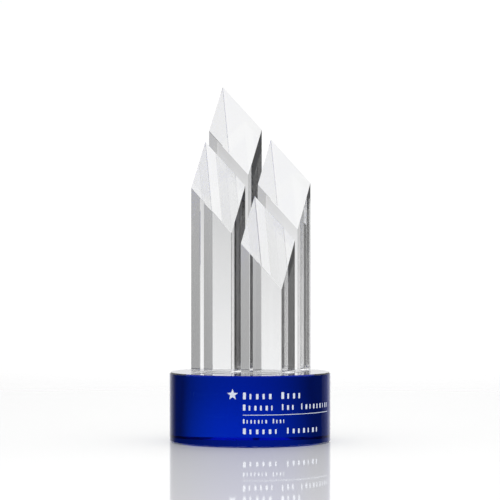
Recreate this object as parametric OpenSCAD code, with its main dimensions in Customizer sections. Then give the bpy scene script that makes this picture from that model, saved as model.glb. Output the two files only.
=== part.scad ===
// Column trophy: four clear crystal columns, cut to one slanting plane, on a round blue crystal base.
// Millimetres, +Z up. The front faces -Y, and the origin is the centre of the base's underside.
// The columns stand corner-on: one at the back, one on each side and the shortest at the front.

/* [Base] */
// Diameter of the round base
base_d = 95; // [92:1:120]
// Height of the base
base_h = 41; // [37:1:45]
// Leg of the polished bevel round both rims of the base
base_bevel = 0.8; // [0.3:0.1:2]

/* [Columns] */
// Side of each square column
column_side = 25; // [20:0.5:27]
// Gap between neighbouring columns
column_gap = 5.7; // [4:0.1:7]
// Height of the tallest column's highest corner, before it is bevelled
peak_h = 212.2; // [205:0.1:250]
// Slope of the cut tops along the front-left faces, in degrees
left_rake = 46.5; // [40:0.5:50]
// Slope of the cut tops along the front-right faces, in degrees
right_rake = 48.5; // [40:0.5:50]
// Width of the polished flat on every column edge
column_bevel = 0.3; // [0.2:0.1:1]
// How far the hand-set cluster stands to the right of the base's centre
cluster_shift = 1; // [0:0.5:2]

/* [Bonding] */
// Thickness of the cured adhesive film under each column
bond_t = 0.1; // [0.1:0.05:0.3]

/* [Engraving] */
// Depth of the sand-carved marks in the side of the base
mark_depth = 0.3; // [0.2:0.1:0.6]
// How far the paint fill lies below the base's surface
fill_sink = 0.05; // [0.02:0.01:0.1]
// Left end of every engraved line, measured round the base from its front
line_start = -25.8; // [-28:0.1:-20]
// Height of a word's other blocks, as a share of its first block's height
small_block = 0.8; // [0.6:0.05:1]
// Point radius of the star emblem
star_r = 3.4; // [2:0.1:4.5]
// Distance of the star's centre from the front, measured round the base
star_at = -31.8; // [-36:0.1:-30]
// Height of the star's centre
star_z = 30.3; // [28:0.1:32]

/* [Hidden] */
$fn = 96;

base_r = base_d / 2;
column_pitch = column_side + column_gap;
foot_z = base_h + bond_t;
reach = 400;        // side of the cutting blocks, longer than anything that they cut
overshoot = 1;      // how far a cutter runs past the surface that it opens
corner_on = -45;    // turns the cluster so that a corner of each column faces the front
front_angle = -90;  // direction of the front in polar coordinates

// Column places in the cluster's own square frame, in steps of half a pitch
BACK = [-1, 1];
LEFT = [-1, -1];
RIGHT = [1, 1];
FRONT = [1, -1];

// The plane that all four tops lie in, in the cluster's own frame
fall_x = tan(left_rake);
rise_y = tan(right_rake);
cluster_half = column_pitch / 2 + column_side / 2;
middle_h = peak_h - (fall_x + rise_y) * cluster_half;
top_normal = unit([fall_x, -rise_y, 1]);

// Engraved lines of plain blocks, set out like words: the line's foot, the height of a word's
// first block, the spacing of the blocks, and the number of blocks in each word
TITLE = [27.7, 3.9, 3.75, [5, 4]];
SUBTITLE = [21.3, 3.5, 3.26, [6, 3, 9]];
CAPTION = [13.9, 2.6, 2.15, [7, 4]];
NAME = [7.8, 3.4, 3.72, [6, 7]];
LINES = [TITLE, SUBTITLE, CAPTION, NAME];
BLOCK_WIDTHS = [0.46, 0.3, 0.4, 0.34, 0.42, 0.26];  // as shares of the spacing, taken in turn
// The engraved rule under the subtitle: its foot, height and length
RULE = [18.5, 0.4, 64];

function unit(v) = v / norm(v);
function top_z(p) = middle_h - fall_x * p[0] + rise_y * p[1];
function side_normals() = [[1, 0, 0], [-1, 0, 0], [0, 1, 0], [0, -1, 0]];
function arc_angle(length) = length / base_r * 180 / PI;
// How many block spaces come before word number i of a line
function spaces_before(words, i) = i == 0 ? 0 : spaces_before(words, i - 1) + words[i - 1] + 1;

// Everything on the outer side of the plane through point with that outward normal
module beyond(normal, point) {
    polar = acos(normal[2] / norm(normal));
    azimuth = atan2(normal[1], normal[0]);
    translate(point) rotate([0, polar, azimuth])
        translate([-reach, -reach, 0]) cube([2 * reach, 2 * reach, reach]);
}

// Takes a flat of that width off the edge where planes with normals a and b meet
module edge_flat(a, b, edge_point, width) {
    half_turn = acos(a * b) / 2;
    inward = width * tan(half_turn) / 2;
    outward = unit(a + b);
    beyond(outward, edge_point - inward * outward);
}

module bevelled_square(side, leg) {
    h = side / 2;
    polygon([
        [h - leg, -h], [h, -h + leg], [h, h - leg], [h - leg, h],
        [-h + leg, h], [-h, h - leg], [-h, -h + leg], [-h + leg, -h]
    ]);
}

module in_cluster() {
    translate([cluster_shift, 0, 0]) rotate([0, 0, corner_on]) children();
}

// One square column, cut by the shared slanting plane, with a polished flat on every edge
module column(place) {
    centre = place * column_pitch / 2;
    in_cluster() difference() {
        translate([centre[0], centre[1], foot_z])
            linear_extrude(height = peak_h) bevelled_square(column_side, column_bevel / sqrt(2));
        beyond(top_normal, [0, 0, middle_h]);
        for (side = side_normals()) {
            face = centre + column_side / 2 * [side[0], side[1]];
            edge_flat(side, top_normal, [face[0], face[1], top_z(face)], column_bevel);
            edge_flat(side, [0, 0, -1], [face[0], face[1], foot_z], column_bevel);
        }
    }
}

// The clear film that bonds a column's foot to the base
module bond(place) {
    centre = place * column_pitch / 2;
    foot_side = column_side - 2 * column_bevel;
    in_cluster() translate([centre[0], centre[1], base_h])
        linear_extrude(height = bond_t) square(foot_side, center = true);
}

// A slab that follows the side of the base, from radius inner to radius outer
module curved_bar(start, length, foot, height, inner, outer) {
    rotate([0, 0, front_angle + arc_angle(start)])
        rotate_extrude(angle = arc_angle(length), $fn = 360)
            translate([inner, foot]) square([outer - inner, height]);
}

module engraved_line(line, inner, outer) {
    spacing = line[2];
    words = line[3];
    for (word = [0 : len(words) - 1], i = [0 : words[word] - 1]) {
        space = spaces_before(words, word) + i;
        width = spacing * BLOCK_WIDTHS[space % len(BLOCK_WIDTHS)];
        height = line[1] * (i == 0 ? 1 : small_block);
        curved_bar(line_start + space * spacing, width, line[0], height, inner, outer);
    }
}

module engraved_rule(inner, outer) {
    curved_bar(line_start, RULE[2], RULE[0], RULE[1], inner, outer);
}

// A plain five-pointed star, pressed through the side of the base
module engraved_star(inner, outer) {
    waist = 0.42;   // inner corners' radius as a share of the points' radius
    points = [for (i = [0 : 9])
        (i % 2 == 0 ? 1 : waist) * star_r * [cos(90 + 36 * i), sin(90 + 36 * i)]];
    intersection() {
        rotate([0, 0, front_angle + arc_angle(star_at)])
            translate([base_r - 5, 0, star_z])
                rotate([90, 0, 90]) linear_extrude(height = 10) polygon(points);
        difference() {
            cylinder(h = base_h, r = outer, $fn = 360);
            translate([0, 0, -overshoot]) cylinder(h = base_h + 2 * overshoot, r = inner, $fn = 360);
        }
    }
}

module base() {
    r = base_r;
    b = base_bevel;
    color([0.02, 0.12, 0.65, 0.85]) difference() {
        rotate_extrude($fn = 360)
            polygon([[0, 0], [r - b, 0], [r, b], [r, base_h - b], [r - b, base_h], [0, base_h]]);
        for (line = LINES) engraved_line(line, r - mark_depth, r + overshoot);
        engraved_rule(r - mark_depth, r + overshoot);
        engraved_star(r - mark_depth, r + overshoot);
    }
}

module crystal() {
    color([0.92, 0.95, 0.97, 0.4]) children();
}

module adhesive() {
    color([0.97, 0.97, 0.92, 0.5]) children();
}

module fill() {
    color([0.9, 0.92, 0.97]) children();
}

module line_fill(line) {
    fill() engraved_line(line, base_r - mark_depth, base_r - fill_sink);
}

module column_back() { crystal() column(BACK); }
module column_left() { crystal() column(LEFT); }
module column_right() { crystal() column(RIGHT); }
module column_front() { crystal() column(FRONT); }

module bond_back() { adhesive() bond(BACK); }
module bond_left() { adhesive() bond(LEFT); }
module bond_right() { adhesive() bond(RIGHT); }
module bond_front() { adhesive() bond(FRONT); }

module fill_star() { fill() engraved_star(base_r - mark_depth, base_r - fill_sink); }
module fill_title() { line_fill(TITLE); }
module fill_subtitle() { line_fill(SUBTITLE); }
module fill_rule() { fill() engraved_rule(base_r - mark_depth, base_r - fill_sink); }
module fill_caption() { line_fill(CAPTION); }
module fill_name() { line_fill(NAME); }

base();
column_back();
column_left();
column_right();
column_front();
bond_back();
bond_left();
bond_right();
bond_front();
fill_star();
fill_title();
fill_subtitle();
fill_rule();
fill_caption();
fill_name();
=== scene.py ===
"""Looks of the column trophy: clear crystal columns on a carved and paint-filled blue crystal base."""

import math

import bmesh
import bpy
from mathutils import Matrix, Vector


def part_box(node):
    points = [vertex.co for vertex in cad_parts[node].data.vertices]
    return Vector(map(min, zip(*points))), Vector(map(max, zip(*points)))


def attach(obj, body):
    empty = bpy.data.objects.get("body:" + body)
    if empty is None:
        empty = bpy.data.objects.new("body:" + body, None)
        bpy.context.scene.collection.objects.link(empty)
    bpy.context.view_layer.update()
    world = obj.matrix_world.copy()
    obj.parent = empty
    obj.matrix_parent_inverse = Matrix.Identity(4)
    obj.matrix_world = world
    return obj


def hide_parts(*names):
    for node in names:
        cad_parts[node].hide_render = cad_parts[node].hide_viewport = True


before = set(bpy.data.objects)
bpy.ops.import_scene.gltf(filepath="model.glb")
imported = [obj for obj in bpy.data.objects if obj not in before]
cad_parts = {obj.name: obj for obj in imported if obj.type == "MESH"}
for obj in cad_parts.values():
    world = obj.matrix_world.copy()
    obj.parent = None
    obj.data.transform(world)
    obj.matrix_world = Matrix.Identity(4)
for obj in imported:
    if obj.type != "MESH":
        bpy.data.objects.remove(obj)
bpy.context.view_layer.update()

MM = 0.001

# ---- The object, as the CAD model has it -------------------------------------------------------
COLUMNS = ("back", "left", "right", "front")
LINE_FILLS = ("fill_title", "fill_subtitle", "fill_rule", "fill_caption", "fill_name")
STAR_FILL = "fill_star"
RIM_BEVEL = 0.8 * MM        # leg of the bevel round both rims of the base
CARVED_DEPTH = 0.3 * MM     # how deep the marks are carved
FILL_SINK = 0.05 * MM       # how far the paint lies below the surface
STAR_WAIST = 0.42           # the star's inner corners, as a share of its points' radius

# ---- What polishing and painting add ------------------------------------------------------------
ARRIS = 0.04 * MM           # softened edge of every flat on a column
RIM_ARRIS = 0.3 * MM        # radius of the softened edges of the rim bevels
RIM_STEPS = 4               # facets round each of those edges
BLOCK_CORNER = 0.35 * MM    # largest corner radius of a carved block
CORNER_SHARE = 0.3          # a corner's radius is at most this share of the block's sides
CORNER_STEPS = 5            # facets round each of those corners
PAINT_GAP = 0.02 * MM       # air between the paint and the walls of its recess
SEGMENTS = 384              # facets round the base

# ---- Limits used in making the meshes -----------------------------------------------------------
WELD = 0.001 * MM           # points nearer than this become one
ONE_FACE = math.radians(0.2)  # faces that turn less than this become one
FACING = 0.9                # cosine above which a face counts as facing a direction
OVERSHOOT = 1 * MM          # how far the carving cutter runs past the base's side

base_low, base_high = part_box("base")
BASE_R = (base_high.x - base_low.x) / 2
BASE_H = base_high.z
FACET = 2 * math.pi * BASE_R / SEGMENTS


# ---- Meshes -------------------------------------------------------------------------------------
def new_object(name, mesh):
    piece = bpy.data.objects.new(name, mesh)
    bpy.context.scene.collection.objects.link(piece)
    return piece


def finished_piece(piece, slot, *nodes):
    """The piece stands for those CAD nodes, which it hides, and hangs from the root body. The slot is not
    used.
    """
    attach(piece, "root")
    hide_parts(*nodes)
    return piece


def islands(node):
    """The corner points of each separate solid in a CAD node."""
    bm = bmesh.new()
    bm.from_mesh(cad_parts[node].data)
    bmesh.ops.remove_doubles(bm, verts=bm.verts, dist=WELD)
    bm.verts.index_update()
    left = set(bm.verts)
    found = []
    while left:
        island, todo = [], [left.pop()]
        while todo:
            vert = todo.pop()
            island.append(vert.co.copy())
            for edge in vert.link_edges:
                other = edge.other_vert(vert)
                if other in left:
                    left.remove(other)
                    todo.append(other)
        found.append(island)
    bm.free()
    return found


def unrolled_box(points):
    """The box of points on the base's side, laid flat: distance round from the front, and height."""
    along = [math.atan2(p.x, -p.y) * BASE_R for p in points]
    heights = [p.z for p in points]
    return min(along), max(along), min(heights), max(heights)


def block_outline(box, inset):
    """A rectangle with rounded corners."""
    left, right, low, high = box[0] + inset, box[1] - inset, box[2] + inset, box[3] - inset
    radius = min(BLOCK_CORNER, CORNER_SHARE * (high - low), CORNER_SHARE * (right - left))
    corners = ((right, high, 0), (left, high, 1), (left, low, 2), (right, low, 3))
    outline = []
    for s, z, quarter in corners:
        centre_s = s + radius * (1 if s == left else -1)
        centre_z = z + radius * (1 if z == low else -1)
        for i in range(CORNER_STEPS + 1):
            turn = (quarter + i / CORNER_STEPS) * math.pi / 2
            outline.append((centre_s + radius * math.cos(turn), centre_z + radius * math.sin(turn)))
    return outline


def star_outline(box, inset):
    """A five-pointed star that stands in that box."""
    radius = (box[3] - box[2]) / (1 + math.cos(math.pi / 5))
    centre_s, centre_z = (box[0] + box[1]) / 2, box[3] - radius
    outline = []
    for i in range(10):
        reach = (radius - 2 * inset) * (STAR_WAIST if i % 2 else 1)
        turn = math.pi / 2 + i * math.pi / 5
        outline.append((centre_s + reach * math.cos(turn), centre_z + reach * math.sin(turn)))
    return outline


def outlines(node, inset=0.0):
    """The outline of each of a fill node's solids, drawn in by the inset."""
    make = star_outline if node == STAR_FILL else block_outline
    return [make(unrolled_box(island), inset) for island in islands(node)]


def wrapped_prisms(name, shapes, inner, outer):
    """Prisms of those outlines between two radii, bent round the base facet by facet."""
    bm = bmesh.new()
    for shape in shapes:
        floor = [bm.verts.new((s, inner, z)) for s, z in shape]
        top = [bm.verts.new((s, outer, z)) for s, z in shape]
        bm.faces.new(floor)
        bm.faces.new(reversed(top))
        for i in range(len(shape)):
            j = (i + 1) % len(shape)
            bm.faces.new((floor[j], floor[i], top[i], top[j]))
    first = math.ceil(min(s for shape in shapes for s, z in shape) / FACET)
    last = math.floor(max(s for shape in shapes for s, z in shape) / FACET)
    for k in range(first, last + 1):
        whole = bm.verts[:] + bm.edges[:] + bm.faces[:]
        bmesh.ops.bisect_plane(bm, geom=whole, plane_co=(k * FACET, 0, 0), plane_no=(1, 0, 0))
    for vert in bm.verts:
        s, radius, z = vert.co
        vert.co = (radius * math.sin(s / BASE_R), -radius * math.cos(s / BASE_R), z)
    bmesh.ops.recalc_face_normals(bm, faces=bm.faces)
    mesh = bpy.data.meshes.new(name)
    bm.to_mesh(mesh)
    bm.free()
    return new_object(name, mesh)


def softened(corners, radius):
    """A profile with each inner corner rounded, as (radius, height, normal across, normal up)."""
    profile = [(*corners[0], 0, -1)]
    for before, corner, after in zip(corners, corners[1:], corners[2:]):
        arriving = (Vector(corner) - Vector(before)).normalized()
        leaving = (Vector(after) - Vector(corner)).normalized()
        turn = arriving.angle_signed(leaving)
        trim = radius * math.tan(abs(turn) / 2)
        normal = Vector((arriving.y, -arriving.x))
        centre = Vector(corner) - arriving * trim - normal * radius
        start = math.atan2(normal.y, normal.x)
        for i in range(RIM_STEPS + 1):
            angle = start + abs(turn) * i / RIM_STEPS
            across, up = math.cos(angle), math.sin(angle)
            profile.append((centre.x + radius * across, centre.y + radius * up, across, up))
    profile.append((*corners[-1], 0, 1))
    return profile


def lathe(name, profile):
    """A closed turned solid. The profile's two ends lie on the axis."""
    bm = bmesh.new()
    rings = []
    for radius, height, _, _ in profile[1:-1]:
        turns = (2 * math.pi * i / SEGMENTS for i in range(SEGMENTS))
        rings.append([bm.verts.new((radius * math.sin(a), -radius * math.cos(a), height)) for a in turns])
    for lower, upper in zip(rings, rings[1:]):
        for i in range(SEGMENTS):
            j = (i + 1) % SEGMENTS
            bm.faces.new((lower[i], lower[j], upper[j], upper[i]))
    bm.faces.new(reversed(rings[0]))
    bm.faces.new(rings[-1])
    mesh = bpy.data.meshes.new(name)
    bm.to_mesh(mesh)
    bm.free()
    return new_object(name, mesh)


def carve(piece, cutter):
    """Takes the cutter's solids out of the piece."""
    cut = piece.modifiers.new("carving", "BOOLEAN")
    cut.operation = "DIFFERENCE"
    cut.solver = "EXACT"
    cut.object = cutter
    carved = bpy.data.meshes.new_from_object(piece.evaluated_get(bpy.context.evaluated_depsgraph_get()))
    piece.modifiers.clear()
    piece.data = carved
    bpy.data.objects.remove(cutter)


def nearest(profile, radius, height):
    """The profile's point that is nearest to that radius and height."""
    return min(profile[1:-1], key=lambda p: (p[0] - radius) ** 2 + (p[1] - height) ** 2)


def true_normals(mesh, profile):
    """Gives the turned faces the normals of the true curves, and the recesses' walls their own."""
    rim = 1.5 * RIM_BEVEL
    normals = []
    for face in mesh.polygons:
        outward = Vector((face.center.x, face.center.y, 0)).normalized()
        curved = face.normal.dot(outward) > FACING
        wall = not curved and rim < face.center.z < BASE_H - rim
        for index in face.vertices:
            corner = mesh.vertices[index].co
            radial = Vector((corner.x, corner.y, 0))
            if wall:
                normals.append(face.normal.copy())
            elif curved:
                normals.append(radial.normalized())
            else:
                _, _, across, up = nearest(profile, radial.length, corner.z)
                normals.append(radial.normalized() * across + Vector((0, 0, up)))
    mesh.shade_smooth()
    mesh.normals_split_custom_set(normals)


def make_base():
    """The turned disc with its softened rims and its carved marks."""
    corners = [
        (0, 0), (BASE_R - RIM_BEVEL, 0), (BASE_R, RIM_BEVEL),
        (BASE_R, BASE_H - RIM_BEVEL), (BASE_R - RIM_BEVEL, BASE_H), (0, BASE_H),
    ]
    profile = softened(corners, RIM_ARRIS)
    piece = lathe("base_crystal", profile)
    shapes = [shape for node in (STAR_FILL, *LINE_FILLS) for shape in outlines(node)]
    carve(piece, wrapped_prisms("cutter", shapes, BASE_R - CARVED_DEPTH, BASE_R + OVERSHOOT))
    true_normals(piece.data, profile)
    return finished_piece(piece, "blue_crystal", "base")


def make_column(place):
    """The bar with its polished flats, as the CAD has it, and with every arris softened. Its foot
    has the second material."""
    node = "column_" + place
    bm = bmesh.new()
    bm.from_mesh(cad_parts[node].data)
    bmesh.ops.remove_doubles(bm, verts=bm.verts, dist=WELD)
    bmesh.ops.dissolve_limit(bm, angle_limit=ONE_FACE, verts=bm.verts, edges=bm.edges)
    for face in bm.faces:
        face.smooth = False
        face.material_index = 1 if face.normal.z < -FACING else 0
    mesh = bpy.data.meshes.new("crystal_" + place)
    bm.to_mesh(mesh)
    bm.free()
    piece = new_object("crystal_" + place, mesh)
    arris = piece.modifiers.new("arris", "BEVEL")
    arris.width = ARRIS
    arris.segments = 2
    arris.limit_method = "NONE"
    return finished_piece(piece, "clear_crystal", node)


def make_fill(node):
    """The paint in one line's recesses."""
    inner, outer = BASE_R - CARVED_DEPTH + PAINT_GAP, BASE_R - FILL_SINK
    piece = wrapped_prisms("paint_" + node.removeprefix("fill_"), outlines(node, PAINT_GAP), inner, outer)
    return finished_piece(piece, "paint_fill", node)


# ---- Materials ----------------------------------------------------------------------------------
CLEAR_IOR = 1.517
BLUE_IOR = 1.52
ADHESIVE_IOR = 1.5
POLISH = 0.003              # highest roughness of polished crystal
BLUE = (0.1, 0.55, 0.888, 1)  # what the blue crystal lets through
BLUE_DENSITY = 100
HAZE = 0.03                 # how much of the adhesive film can be seen
GRAIN = 0.02 * MM           # height of the paint's fine grain
NOISE_MIDDLE = (0.3, 0.7)   # the range that most of a noise lies in


def new_material(name):
    material = bpy.data.materials.new(name)
    material.use_nodes = True
    nodes = material.node_tree.nodes
    return material, nodes, material.node_tree.links, nodes["Principled BSDF"]


def noise(nodes, links, scale, detail=2.0):
    """Noise in the object's own metres, from 0 to 1."""
    coordinates = nodes.new("ShaderNodeTexCoord")
    texture = nodes.new("ShaderNodeTexNoise")
    texture.inputs["Scale"].default_value = scale
    texture.inputs["Detail"].default_value = detail
    links.new(coordinates.outputs["Object"], texture.inputs["Vector"])
    return texture.outputs["Fac"]


def spread(nodes, links, value, low, high):
    """Maps the middle of a noise to the range from low to high."""
    mapped = nodes.new("ShaderNodeMapRange")
    mapped.inputs["From Min"].default_value = NOISE_MIDDLE[0]
    mapped.inputs["From Max"].default_value = NOISE_MIDDLE[1]
    mapped.inputs["To Min"].default_value = low
    mapped.inputs["To Max"].default_value = high
    links.new(value, mapped.inputs["Value"])
    return mapped.outputs["Result"]


def two_tone(nodes, links, value, first, second):
    """Goes from the first colour to the second with the middle of a noise."""
    mix = nodes.new("ShaderNodeMix")
    mix.data_type = "RGBA"
    mix.inputs["A"].default_value = (*first, 1)
    mix.inputs["B"].default_value = (*second, 1)
    links.new(spread(nodes, links, value, 0, 1), mix.inputs["Factor"])
    return mix.outputs["Result"]


def add_bump(nodes, links, shader, value, height):
    bump = nodes.new("ShaderNodeBump")
    bump.inputs["Strength"].default_value = 1.0
    bump.inputs["Distance"].default_value = height
    links.new(value, bump.inputs["Height"])
    links.new(bump.outputs["Normal"], shader.inputs["Normal"])


def polished_crystal(name, ior, tint, tint_scale, polish_scale):
    """Solid crystal with faint changes of tint and of polish."""
    material, nodes, links, shader = new_material(name)
    shader.inputs["Transmission Weight"].default_value = 1.0
    shader.inputs["IOR"].default_value = ior
    tinted = two_tone(nodes, links, noise(nodes, links, tint_scale), tint, (1, 1, 1))
    links.new(tinted, shader.inputs["Base Color"])
    polish = spread(nodes, links, noise(nodes, links, polish_scale), 0.0, POLISH)
    links.new(polish, shader.inputs["Roughness"])
    return material


def clear_crystal():
    tint = (0.985, 0.99, 0.995)
    return polished_crystal("clear_crystal", CLEAR_IOR, tint, tint_scale=30, polish_scale=80)


def blue_crystal():
    """Crystal that is blue all through, from absorption inside it."""
    tint = (0.97, 0.985, 1)
    material = polished_crystal("blue_crystal", BLUE_IOR, tint, tint_scale=40, polish_scale=90)
    nodes = material.node_tree.nodes
    absorption = nodes.new("ShaderNodeVolumeAbsorption")
    absorption.inputs["Color"].default_value = BLUE
    absorption.inputs["Density"].default_value = BLUE_DENSITY
    material.node_tree.links.new(absorption.outputs["Volume"], nodes["Material Output"].inputs["Volume"])
    return material


def bonded_face():
    """The foot of a column, where the adhesive lets light go straight on into the base."""
    material, nodes, links, shader = new_material("bonded_face")
    nodes.remove(shader)
    clear = nodes.new("ShaderNodeBsdfTransparent")
    links.new(clear.outputs["BSDF"], nodes["Material Output"].inputs["Surface"])
    return material


def adhesive():
    """A cured film that is nearly clear, with a slight cloudiness."""
    material, nodes, links, shader = new_material("adhesive")
    shader.inputs["Transmission Weight"].default_value = 1.0
    shader.inputs["IOR"].default_value = ADHESIVE_IOR
    shader.inputs["Alpha"].default_value = HAZE
    tint = two_tone(nodes, links, noise(nodes, links, scale=200), (0.94, 0.95, 0.9), (1, 1, 0.98))
    links.new(tint, shader.inputs["Base Color"])
    cloud = spread(nodes, links, noise(nodes, links, scale=300), 0.02, 0.12)
    links.new(cloud, shader.inputs["Roughness"])
    return material


def paint():
    """Matte white paint, slightly mottled, with a fine grain."""
    material, nodes, links, shader = new_material("paint_fill")
    mottle = noise(nodes, links, scale=900, detail=4)
    tone = two_tone(nodes, links, mottle, (0.6, 0.66, 0.8), (0.76, 0.81, 0.92))
    links.new(tone, shader.inputs["Base Color"])
    sheen = spread(nodes, links, noise(nodes, links, scale=2500), 0.45, 0.7)
    links.new(sheen, shader.inputs["Roughness"])
    add_bump(nodes, links, shader, noise(nodes, links, scale=6000, detail=3), GRAIN)
    return material


# ---- The camera ---------------------------------------------------------------------------------
VIEW_AZIMUTH = -26.2        # degrees round the object from its front
VIEW_DISTANCE = 1.359
VIEW_HEIGHT = 0.1129
LENS = 165.6                # for Blender's 36 mm sensor

HEADING = math.radians(-VIEW_AZIMUTH)
STRAIGHT_BACK = Vector((math.sin(HEADING), math.cos(HEADING), 0))
TO_THE_RIGHT = Vector((math.cos(HEADING), -math.sin(HEADING), 0))


def make_camera():
    camera = bpy.data.objects.new("camera", bpy.data.cameras.new("camera"))
    bpy.context.scene.collection.objects.link(camera)
    camera.location = -STRAIGHT_BACK * VIEW_DISTANCE + Vector((0, 0, VIEW_HEIGHT))
    camera.rotation_euler = (math.pi / 2, 0, math.radians(VIEW_AZIMUTH))
    camera.data.lens = LENS
    camera.data.clip_start = 0.01
    bpy.context.scene.camera = camera


# ---- The studio ---------------------------------------------------------------------------------
# Bearings are degrees round from straight back, to the right. Rises are degrees up from level.
BACKDROP_BEARING = 6        # the middle of the bright backdrop
MIRRORED_BEARING = 1        # the middle of the part of it that polished faces mirror
DARK_BEARING = -158         # the middle of the studio's dark front
STRIP_BEARING = 48.5        # the middle of the strip light at the right
CARD_BEARING = 135          # the middle of a dark card that lies on the table
CARD_RISE = -22
CARD_TURNS = 3.5            # only light that has turned more often than this meets the card

# Gradients of light: the degrees where each starts and ends, then the light at its start and its end
LOW_BACKDROP = (36, 50, 1.06, 0.7)      # by bearing, low on the backdrop
HIGH_BACKDROP = (5, 30, 0.62, 1.3)      # out from the backdrop's middle, higher up on it
BRIGHT_BAND = (2.7, 2.9, 0, 1.2)        # by rise, across the lower edge of a bright band
BAND_TOP = (-40, 30, 0.8, 0.4)          # by bearing, the share that is left above the band
BACKDROP_FOOT = (-4.7, -3.2, 1.25, 0.8)  # by rise, a share of the light
BACKDROP_WIDTH = (50, 2, 0.18, 1)       # in towards the backdrop's middle, a share of the light
SIDE_WALLS = (58, 95, 0.2, 0.8)         # out from the backdrop's middle
FRONT = (-3.4, -2.7, 0.4, 0.03)         # by rise, the share that the dark front keeps
MIRRORED = (52, 2, 0.015, 1.04)         # in towards the middle of the mirrored part
STRIP = (8, 6, 0, 0.095)                # in towards the middle of the strip light
TABLE_RIGHT = (-30, 60, 1, 0.93)        # by bearing, a share of the light
TABLE_ROUND = (72, 110, 1, 0.62)        # out from the backdrop's middle, a share of the light
TABLE_FRONT = (20, 50, 0.6, 1)          # out from the middle of the dark front, a share of the light
CARD = (3.5, 5, 0.1, 1)                 # up and down from the card's middle, a share of the light

# The degrees over which one light gives way to another
LOW_TO_HIGH = (-4, 4)       # rise on the backdrop
FOOT_TOP = (-3.2, -3.1)     # rise
BAND_END = (3.2, 4)         # rise
FRONT_SIDES = (34, 46)      # out from the middle of the dark front
CARD_SIDES = (18, 26)       # out from the card's middle
CEILING_TO_TOP = (20, 70)   # rise
TABLE_TO_CEILING = (-5, 30)  # rise
LEVEL_TO_STEEP = (6, 10)    # up or down from level

TABLE_MIRRORED = 0.45       # the table's light in polished faces
CEILING = 0.45              # the ceiling's light, through the crystal and in polished faces
ABOVE_MIRRORED = 0.1        # the light straight above, in polished faces
ABOVE_THROUGH = 2.0         # the light straight above, through the crystal
CEILING_LAMPS = 1.5         # the ceiling's light on matte surfaces

DARK_FRONT = (STRAIGHT_BACK * math.cos(math.radians(DARK_BEARING))
              + TO_THE_RIGHT * math.sin(math.radians(DARK_BEARING)))

TABLE_RADIUS = 1.0
TABLE_DROP = 0.05 * MM      # how far the table's top is below the base
TABLE_WHITE = (0.9, 0.9, 0.9, 1)
TABLE_ROUGHNESS = 0.03
TABLE_IOR = 1.45
FLATTEST = (80, 84)         # degrees from head-on over which the table's mirroring starts
TABLE_FADE = (0.35, 0.95 * TABLE_RADIUS)  # distances over which the table fades for the camera
NEAR_FADE = (BASE_R, 1.15 * BASE_R)       # and for all other light


def maths(tree, operation, *values):
    node = tree.nodes.new("ShaderNodeMath")
    node.operation = operation
    for socket, value in zip(node.inputs, values):
        if isinstance(value, (int, float)):
            socket.default_value = value
        else:
            tree.links.new(value, socket)
    return node.outputs["Value"]


def product(tree, first, *others):
    result = first
    for other in others:
        result = maths(tree, "MULTIPLY", result, other)
    return result


def fade(tree, value, start, end, low, high):
    """Goes smoothly from low to high as the value goes from start to end."""
    node = tree.nodes.new("ShaderNodeMapRange")
    node.interpolation_type = "SMOOTHSTEP"
    for name, number in (("From Min", start), ("From Max", end)):
        node.inputs[name].default_value = number
    for name, number in (("To Min", low), ("To Max", high)):
        if isinstance(number, (int, float)):
            node.inputs[name].default_value = number
        else:
            tree.links.new(number, node.inputs[name])
    tree.links.new(value, node.inputs["Value"])
    return node.outputs["Result"]


def pick(tree, flag, otherwise, chosen):
    """The chosen value where the flag is 1, and the other where it is 0."""
    return fade(tree, flag, 0, 1, otherwise, chosen)


def along(tree, direction, target):
    node = tree.nodes.new("ShaderNodeVectorMath")
    node.operation = "DOT_PRODUCT"
    node.inputs[1].default_value = target
    tree.links.new(direction, node.inputs[0])
    return node.outputs["Value"]


def degrees(tree, angle):
    return maths(tree, "MULTIPLY", angle, 180 / math.pi)


def away_from(tree, angle, centre):
    return maths(tree, "ABSOLUTE", maths(tree, "SUBTRACT", angle, centre))


def light_through(tree, bearing, rise, off_centre, from_front):
    """What shows through the crystal near the horizon: the backdrop, the side walls and the dark front."""
    low_down = fade(tree, bearing, *LOW_BACKDROP)
    high_up = fade(tree, off_centre, *HIGH_BACKDROP)
    upwards = fade(tree, rise, *LOW_TO_HIGH, low_down, high_up)
    banded = maths(tree, "MAXIMUM", upwards, fade(tree, rise, *BRIGHT_BAND))
    foot = fade(tree, rise, *FOOT_TOP, fade(tree, rise, *BACKDROP_FOOT), 1)
    band_top = fade(tree, rise, *BAND_END, 1, fade(tree, bearing, *BAND_TOP))
    width = fade(tree, off_centre, *BACKDROP_WIDTH)
    backdrop = product(tree, banded, foot, band_top, width)
    all_round = maths(tree, "MAXIMUM", backdrop, fade(tree, off_centre, *SIDE_WALLS))
    front = fade(tree, from_front, *FRONT_SIDES, fade(tree, rise, *FRONT), 1)
    return product(tree, all_round, front)


def light_mirrored(tree, bearing):
    """What polished faces mirror near the horizon: the backdrop and the strip light."""
    backdrop = fade(tree, away_from(tree, bearing, MIRRORED_BEARING), *MIRRORED)
    strip = fade(tree, away_from(tree, bearing, STRIP_BEARING), *STRIP)
    return maths(tree, "ADD", backdrop, strip)


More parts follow.
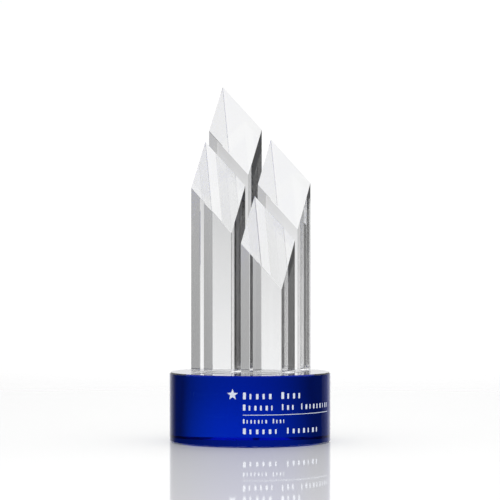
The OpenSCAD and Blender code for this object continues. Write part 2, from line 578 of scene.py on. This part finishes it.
def table_light(tree, path, bearing, rise, off_centre, from_front):
    """What shows well below the horizon: the table with the dark card on it."""
    depth = fade(tree, away_from(tree, rise, CARD_RISE), *CARD)
    card = fade(tree, away_from(tree, bearing, CARD_BEARING), *CARD_SIDES, depth, 1)
    few_turns = maths(tree, "LESS_THAN", path.outputs["Ray Depth"], CARD_TURNS)
    dark_card = maths(tree, "MAXIMUM", card, few_turns)
    right = fade(tree, bearing, *TABLE_RIGHT)
    sides = fade(tree, off_centre, *TABLE_ROUND)
    front = fade(tree, from_front, *TABLE_FRONT)
    through = product(tree, right, sides, front, dark_card)
    mirrored = pick(tree, path.outputs["Is Glossy Ray"], 1, TABLE_MIRRORED)
    return pick(tree, path.outputs["Is Transmission Ray"], mirrored, through)


def ceiling_light(tree, path, rise):
    """What shows well above the horizon."""
    above = pick(tree, path.outputs["Is Transmission Ray"], ABOVE_MIRRORED, ABOVE_THROUGH)
    overhead = fade(tree, rise, *CEILING_TO_TOP, CEILING, above)
    return pick(tree, path.outputs["Is Diffuse Ray"], overhead, CEILING_LAMPS)


def make_world():
    """A bright backdrop in a studio that is dark towards the camera, with a white table and ceiling.
    Light that goes through the crystal, light that polished faces mirror and light on matte surfaces
    each have their own brightness."""
    world = bpy.data.worlds.new("studio")
    bpy.context.scene.world = world
    world.use_nodes = True
    world.cycles.sampling_method = "NONE"
    tree = world.node_tree
    background = tree.nodes["Background"]
    background.inputs["Color"].default_value = (1, 1, 1, 1)
    path = tree.nodes.new("ShaderNodeLightPath")
    direction = tree.nodes.new("ShaderNodeTexCoord").outputs["Generated"]
    rise = degrees(tree, maths(tree, "ARCSINE", along(tree, direction, (0, 0, 1))))
    rightward = along(tree, direction, TO_THE_RIGHT)
    backward = along(tree, direction, STRAIGHT_BACK)
    bearing = degrees(tree, maths(tree, "ARCTAN2", rightward, backward))
    off_centre = away_from(tree, bearing, BACKDROP_BEARING)
    from_front = degrees(tree, maths(tree, "ARCCOSINE", along(tree, direction, DARK_FRONT)))

    through = light_through(tree, bearing, rise, off_centre, from_front)
    near_level = pick(tree, path.outputs["Is Transmission Ray"], light_mirrored(tree, bearing), through)
    below = table_light(tree, path, bearing, rise, off_centre, from_front)
    steep = fade(tree, rise, *TABLE_TO_CEILING, below, ceiling_light(tree, path, rise))
    tilt = maths(tree, "ABSOLUTE", rise)
    light = fade(tree, tilt, *LEVEL_TO_STEEP, near_level, steep)

    # Soft gloss, such as the table's, mirrors white above the horizon, and the camera sees white
    soft = maths(tree, "SUBTRACT", path.outputs["Is Glossy Ray"], path.outputs["Is Singular Ray"])
    mirror_up = maths(tree, "MULTIPLY", soft, maths(tree, "GREATER_THAN", rise, 0))
    white = maths(tree, "MAXIMUM", mirror_up, path.outputs["Is Camera Ray"])
    tree.links.new(maths(tree, "MAXIMUM", light, white), background.inputs["Strength"])


def table_material():
    """White gloss, which fades into the backdrop away from the object."""
    material, nodes, links, shader = new_material("table")
    tree = material.node_tree
    nodes.remove(shader)
    camera_ray = nodes.new("ShaderNodeLightPath").outputs["Is Camera Ray"]
    matte = nodes.new("ShaderNodeBsdfDiffuse")
    matte.inputs["Color"].default_value = TABLE_WHITE
    gloss = nodes.new("ShaderNodeBsdfGlossy")
    gloss.inputs["Roughness"].default_value = TABLE_ROUGHNESS
    fresnel = nodes.new("ShaderNodeFresnel")
    fresnel.inputs["IOR"].default_value = TABLE_IOR
    facing = nodes.new("ShaderNodeLayerWeight").outputs["Facing"]
    # Except straight to the camera, the table mirrors the studio only at the flattest angles
    start, end = (1 - math.cos(math.radians(angle)) for angle in FLATTEST)
    flat = fade(tree, facing, start, end, 0, 1)
    coated = nodes.new("ShaderNodeMixShader")
    links.new(pick(tree, camera_ray, flat, fresnel.outputs["Fac"]), coated.inputs["Fac"])
    links.new(matte.outputs["BSDF"], coated.inputs[1])
    links.new(gloss.outputs["BSDF"], coated.inputs[2])
    clear = nodes.new("ShaderNodeBsdfTransparent")
    distance = nodes.new("ShaderNodeVectorMath")
    distance.operation = "LENGTH"
    links.new(nodes.new("ShaderNodeTexCoord").outputs["Object"], distance.inputs[0])
    wide = fade(tree, distance.outputs["Value"], *TABLE_FADE, 0, 1)
    near = fade(tree, distance.outputs["Value"], *NEAR_FADE, 0, 1)
    edge = nodes.new("ShaderNodeMixShader")
    links.new(pick(tree, camera_ray, near, wide), edge.inputs["Fac"])
    links.new(coated.outputs["Shader"], edge.inputs[1])
    links.new(clear.outputs["BSDF"], edge.inputs[2])
    links.new(edge.outputs["Shader"], nodes["Material Output"].inputs["Surface"])
    return material


def make_table():
    mesh = bpy.data.meshes.new("table")
    bm = bmesh.new()
    bmesh.ops.create_circle(bm, cap_ends=True, segments=96, radius=TABLE_RADIUS)
    bm.to_mesh(mesh)
    bm.free()
    table = new_object("table", mesh)
    table.location.z = -TABLE_DROP
    mesh.materials.append(table_material())


def make_studio():
    make_camera()
    make_world()
    make_table()
    scene = bpy.context.scene
    scene.view_settings.view_transform = "Standard"
    scene.cycles.max_bounces = 32
    scene.cycles.transmission_bounces = 32
    scene.cycles.glossy_bounces = 16
    scene.cycles.transparent_max_bounces = 32
    scene.cycles.use_denoising = True


# ---- The whole ----------------------------------------------------------------------------------
make_studio()

base = make_base()
base.data.materials.append(blue_crystal())

crystal, foot = clear_crystal(), bonded_face()
for place in COLUMNS:
    column = make_column(place)
    column.data.materials.append(crystal)
    column.data.materials.append(foot)

white = paint()
for fill_node in (STAR_FILL, *LINE_FILLS):
    make_fill(fill_node).data.materials.append(white)

film = adhesive()
for place in COLUMNS:
    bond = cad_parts["bond_" + place]
    bond.data.materials.clear()
    bond.data.materials.append(film)
